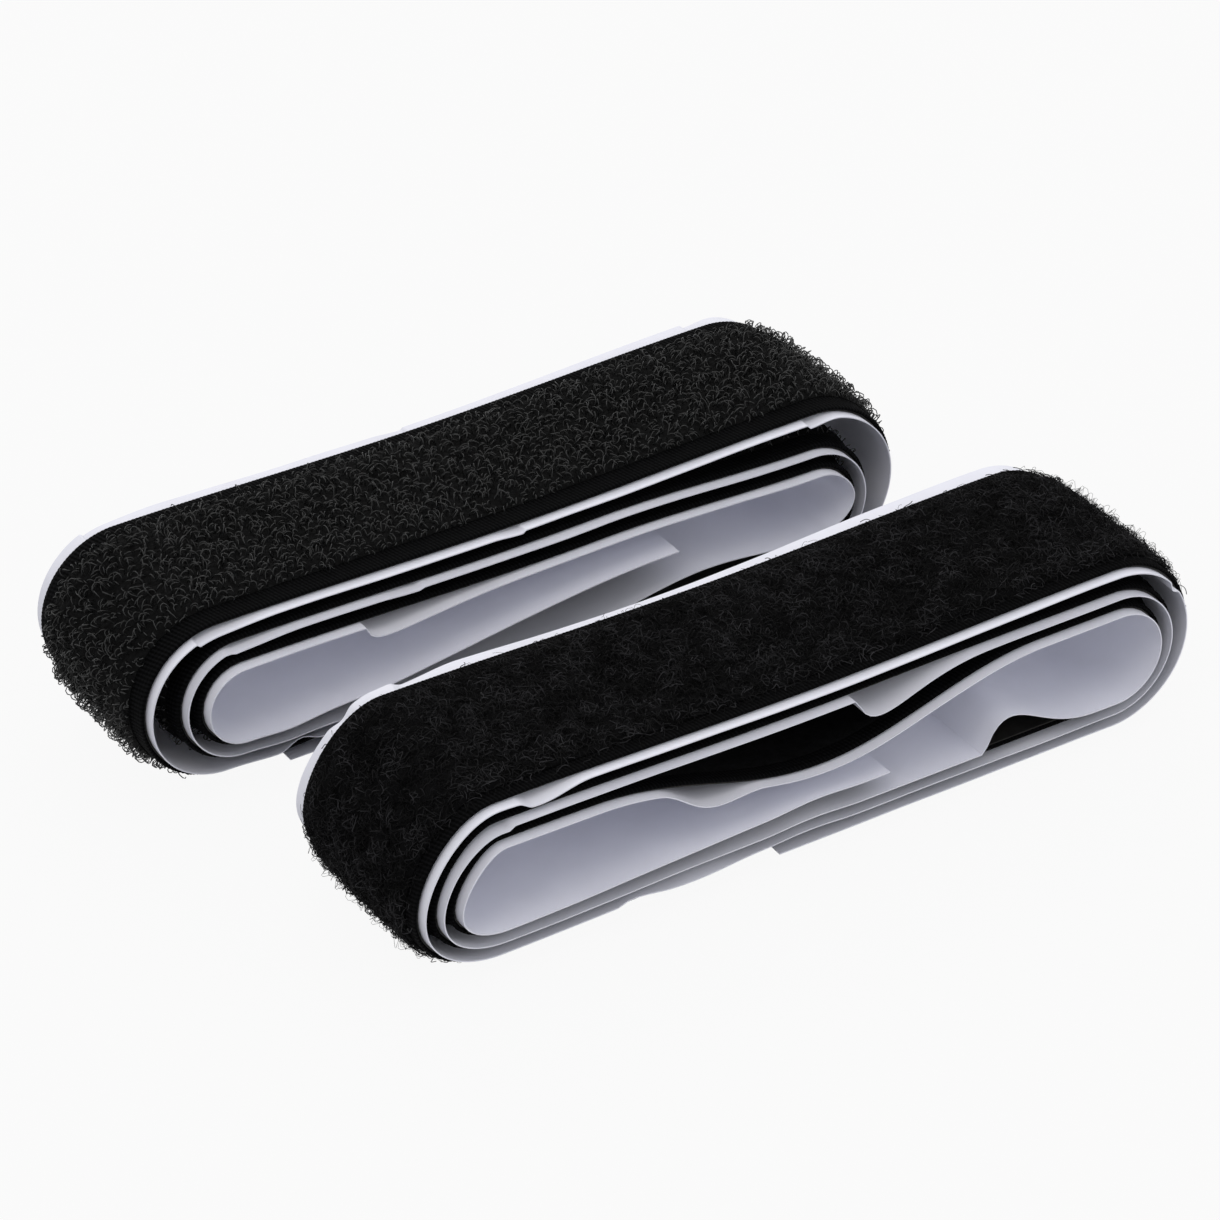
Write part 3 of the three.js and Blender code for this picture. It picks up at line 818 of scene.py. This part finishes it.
LOOP_CREASES = [
    {"leg": "top", "turn": 2, "at": 0.05, "rise": 1.6, "fall": 6.0, "height": 0.62},
    {"leg": "top", "turn": 1, "at": 0.01, "rise": 8.0, "fall": 0.4, "height": 0.38},
    {"leg": "bottom", "turn": 2, "at": 0.8, "rise": 5.0, "fall": 1.5, "height": 0.4},
    {"leg": "right", "turn": 2, "at": 0.3, "rise": 1.2, "fall": 1.0, "height": 0.4},
]

loop_lift = paper_lift(loop_line, LOOP_BUCKLES, LOOP_CREASES)
loop_roll_paper = paper_strip(
    "loop_roll_paper", loop_line, loop_line["roll"], loop_lift, LOOP_CURLS, LOOP_RIPPLE_SEED, paper
)
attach(loop_roll_paper, "loop_roll")
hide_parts("loop_roll_liner")
loop_tail_paper = paper_strip(
    "loop_tail_paper", loop_line, loop_line["tail"], loop_lift, LOOP_CURLS, LOOP_RIPPLE_SEED, paper
)
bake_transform(loop_tail_paper)
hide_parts("loop_tail_liner")

# Loop pile.
# Fine multifilament loops, brushed into a napped felt of tangled fibres, matt and very dark.
# It covers all but the bare edges of the weave, and its fuzz stands against the light at both ends.
LOOP_FELT = {"height": 0.42, "swell": 0.9, "seed": 31}
FIBRE_SEED = 47
FIBRE_SIDES = 3
FUZZ = {
    "name": "fuzz",
    "radius": 0.019,
    "pitch": 0.46,
    "span": (0.5, 1.9),
    "rise": (0.12, 0.75),
    "wander": 0.16,
    "light": 0.6,
    "rings": 6,
}
LOCKS = {
    "name": "locks",
    "radius": 0.045,
    "pitch": 0.56,
    "span": (0.6, 1.7),
    "rise": (0.12, 0.45),
    "wander": 0.3,
    "light": 1.0,
    "rings": 8,
}
FIBRE_STRAY = 0.3
FIBRE_STRAY_LIMIT = 0.8
FIBRE_SEAT = 0.7
FIBRE_EDGE_SEAT = 0.3
FIBRE_SEAT_ROOM = 0.3
FIBRE_SEAT_LEAST = 0.15
FIBRE_UNEVEN = (0.8, 1.0, 1.2, 1.9)
FIBRE_RIM_DROP = 0.45
FIBRE_LEAST = 0.05
FIBRE_LEAN = 0.35
FIBRE_TONE = (-0.6, 0.3)
FIBRE_GRAIN = 0.5
MOTTLE = {"depth": 1.3, "swell": 1.3, "seed": 61}
MOTTLE_CONTRAST = 1.5
PRESSED_SPREAD = 1.5


def pile_finish(name, dark, light):
    """Napped fibre: matt black with a mottle of brushed clumps."""
    finish, add, wire = new_finish(name, roughness=0.95, specular=0.05)
    *_, place = tape_place(add)
    clumps = add("TexNoise", Vector=place, Scale=0.75, Detail=6.0, Roughness=0.72, Distortion=1.2)
    fibre = add("TexNoise", Vector=place, Scale=5.5, Detail=4.0, Roughness=0.7, Distortion=2.0)
    mixed = reckon(add, "MULTIPLY_ADD", fibre.outputs["Fac"], FIBRE_GRAIN, clumps.outputs["Fac"])
    wire(tones(add, mixed, dark, light, 0.55, 0.95), "Base Color")
    wire(add("Bump", Strength=0.9, Distance=0.00025, Height=mixed).outputs[0], "Normal")
    return finish


def fibre_finish():
    finish, add, wire = new_finish("loop_fibre_black", roughness=0.6, specular=0.08)
    tone = add("Attribute", {"attribute_name": "tone"}).outputs["Fac"]
    wire(tones(add, tone, (0.0006, 0.0006, 0.0007), (0.031, 0.031, 0.034), 0.0, 1.0), "Base Color")
    return finish


def fibres(name, line, leg, strip, kind, rng, finish):
    """Brushed loops: each fibre leaves the felt, arches over, wanders and dips back into it."""
    half = TAPE_WIDTH / 2 - strip["selvedge"]
    pitch = kind["pitch"] * (PRESSED_SPREAD if leg == "bottom" else 1)
    along, across = roots(*leg_span(line, leg, TURNS - 1), half, pitch, pitch, rng)
    count = len(along)
    stray = rng.exponential(FIBRE_STRAY, count) * (np.abs(across) > half - FIBRE_STRAY) * (leg != "bottom")
    across = across + np.sign(across) * np.minimum(stray, strip["selvedge"] * FIBRE_STRAY_LIMIT)
    foot, out, heading = stand(line, along)
    foot[:, 1] += across
    clear = room_below(foot[:, 2], out[:, 2], OPEN_ROOM) - strip["ground"]
    if leg == "bottom":
        clear = np.full(count, strip["nap"] + TURN_GAP / 2)
    felt = LOOP_FELT["height"] * FREE_NAP * np.where(np.abs(across) < half, FIBRE_SEAT, FIBRE_EDGE_SEAT)
    base = np.minimum(felt, np.maximum(clear - FIBRE_SEAT_ROOM, FIBRE_SEAT_LEAST))
    rim = np.minimum(np.abs(across) / half, 1)
    free = rng.uniform(*kind["rise"], count) * rng.choice(FIBRE_UNEVEN, count)
    free = free * (1 - FIBRE_RIM_DROP * rim ** 4)
    rise = np.maximum(np.minimum(free, clear - base - FIBRE_LEAST), FIBRE_LEAST)
    span = rng.uniform(*kind["span"], count)
    yaw = rng.uniform(0, 2 * math.pi, count)
    forward, flank = facing(heading, yaw)
    share = np.linspace(0, 1, kind["rings"])[None, :]
    lift = np.sin(math.pi * share) * rise[:, None]
    run = (share - 0.5) * span[:, None] + rng.normal(0, FIBRE_LEAN, count)[:, None] * lift
    swing = np.sin(2 * math.pi * share + rng.uniform(0, 2 * math.pi, count)[:, None])
    wander = rng.normal(0, kind["wander"], count)[:, None] * swing
    centre = (
        foot[:, None, :]
        + out[:, None, :] * (strip["ground"] + base[:, None] + lift)[:, :, None]
        + forward[:, None, :] * run[:, :, None]
        + flank[:, None, :] * wander[:, :, None]
    )
    centre[:, :, 2] = np.maximum(centre[:, :, 2], kind["radius"] + TABLE_CLEARANCE)
    mottle = MOTTLE["depth"] * lumps(along, across, MOTTLE["swell"], MOTTLE["seed"])
    shade = mottle + rng.uniform(*FIBRE_TONE, count)
    tone = np.clip(shade, 0, 1) ** MOTTLE_CONTRAST * kind["light"]
    return strands(name, centre, flank, kind["radius"], FIBRE_SIDES, tone, finish)


loop_felt = pile_finish("loop_pile_black", (0.0006, 0.0006, 0.0007), (0.005, 0.005, 0.0056))
loop_roll_felt = nap_bed(
    "loop_roll_felt", loop_line, every(loop_line["roll"], BED_STRIDE), LOOP_STRIP, LOOP_FELT, loop_felt
)
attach(loop_roll_felt, "loop_roll")
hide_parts("loop_roll_pile")
loop_tail_felt = nap_bed(
    "loop_tail_felt", loop_line, every(loop_line["tail_tape"], BED_STRIDE), LOOP_STRIP, LOOP_FELT, loop_felt
)
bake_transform(loop_tail_felt)
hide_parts("loop_tail_pile")

loop_fibre = fibre_finish()
loop_rng = np.random.default_rng(FIBRE_SEED)
for kind in (FUZZ, LOCKS):
    for leg in ("bottom", "left", "top", "right"):
        fibre_name = f"loop_{leg}_{kind['name']}"
        tuft = fibres(fibre_name, loop_line, leg, LOOP_STRIP, kind, loop_rng, loop_fibre)
        if leg == "right":
            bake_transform(tuft)
        else:
            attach(tuft, "loop_roll")

# Table, lamps and camera.
# A white table under even studio light, so that the black tape shows its texture and the paper stays pale.
# The camera looks down on the near ends of both rolls through a long lens.
TABLE_SIZE = 3.0
TABLE_THICKNESS = 0.02
TABLE_EDGE = 0.006
TABLE_SMOOTH_ANGLE = math.radians(30)
TABLE_WHITE = 0.93
WORLD_LEVEL = 0.86
LENS_ANGLE = math.radians(12.0)
CAMERA_AZIMUTH = math.radians(-32.94)
CAMERA_ELEVATION = math.radians(33.637)
CAMERA_DISTANCE = 0.58
CAMERA_AIM = Vector((0.00842, 0.01288, 0.00175))


def seen_ray(add):
    """1 where the camera, a mirror or a window sees a surface, 0 where it only lights something."""
    path = add("LightPath").outputs
    direct = reckon(add, "MAXIMUM", path["Is Camera Ray"], path["Is Glossy Ray"])
    return reckon(add, "MAXIMUM", direct, path["Is Transmission Ray"])


def table_finish():
    """White laminate. The camera sees it as nearly plain white, with a trace of the shadow left."""
    finish, add, wire = new_finish("white_table", roughness=0.7, specular=0.5)
    grain = add("TexNoise", Scale=40.0, Detail=3.0)
    wire(tones(add, grain.outputs["Fac"], (0.34, 0.34, 0.345), (0.36, 0.36, 0.365)), "Base Color")
    white = add("Emission", Strength=1.0)
    shown = reckon(add, "MULTIPLY", seen_ray(add), TABLE_WHITE)
    tree = finish.node_tree
    laminate = tree.nodes["Principled BSDF"]
    mixed = add("MixShader", i0=shown, i1=laminate.outputs[0], i2=white.outputs[0])
    tree.links.new(mixed.outputs[0], tree.nodes["Material Output"].inputs["Surface"])
    return finish


def table_top():
    half = TABLE_SIZE / 2
    corners = [(-half, -half), (half, -half), (half, half), (-half, half)]
    points = np.array([(x, y, z) for z in (-TABLE_THICKNESS, 0.0) for x, y in corners]) / MM
    faces = [(3, 2, 1, 0), (4, 5, 6, 7), (0, 1, 5, 4), (1, 2, 6, 5), (2, 3, 7, 6), (3, 0, 4, 7)]
    table = piece_from("table", points, faces, table_finish(), TABLE_SMOOTH_ANGLE)
    rounding = table.modifiers.new("rounded_edge", "BEVEL")
    rounding.width = TABLE_EDGE
    rounding.segments = 4


def soft_lamp(name, place, size, power, colour):
    lamp = bpy.data.lights.new(name, "AREA")
    lamp.shape = "DISK"
    lamp.size = size
    lamp.energy = power
    lamp.color = colour
    holder = bpy.data.objects.new(name, lamp)
    holder.location = place
    holder.rotation_mode = "QUATERNION"
    holder.rotation_quaternion = (CAMERA_AIM - holder.location).to_track_quat("-Z", "Y")
    bpy.context.scene.collection.objects.link(holder)


table_top()
soft_lamp("key_lamp", Vector((-0.35, -0.2, 0.8)), 0.45, 1.0, (1.0, 0.94, 0.84))
soft_lamp("front_lamp", Vector((0.5, -0.65, 0.45)), 0.5, 0.8, (1.0, 1.0, 1.0))
soft_lamp("back_lamp", Vector((0.3, 0.6, 0.65)), 0.4, 1.0, (1.0, 0.97, 0.92))

studio = bpy.data.worlds.new("studio")
studio.use_nodes = True
surround = studio.node_tree.nodes["Background"]
surround.inputs["Color"].default_value = (1, 1, 1, 1)
studio_add = adder(studio.node_tree)
level = studio_add("MapRange", Value=seen_ray(studio_add))
level.inputs["To Min"].default_value = WORLD_LEVEL
level.inputs["To Max"].default_value = 1.0
studio.node_tree.links.new(level.outputs[0], surround.inputs["Strength"])
bpy.context.scene.world = studio
bpy.context.scene.view_settings.view_transform = "Standard"

lens = bpy.data.cameras.new("camera")
lens.sensor_width = 36.0
lens.lens = lens.sensor_width / 2 / math.tan(LENS_ANGLE / 2)
lens.clip_start = 0.01
lens.clip_end = 20.0
camera = bpy.data.objects.new("camera", lens)
back = Vector((
    math.sin(CAMERA_AZIMUTH) * math.cos(CAMERA_ELEVATION),
    -math.cos(CAMERA_AZIMUTH) * math.cos(CAMERA_ELEVATION),
    math.sin(CAMERA_ELEVATION),
))
camera.location = CAMERA_AIM + back * CAMERA_DISTANCE
camera.rotation_mode = "QUATERNION"
camera.rotation_quaternion = (-back).to_track_quat("-Z", "Y")
bpy.context.scene.collection.objects.link(camera)
bpy.context.scene.camera = camera
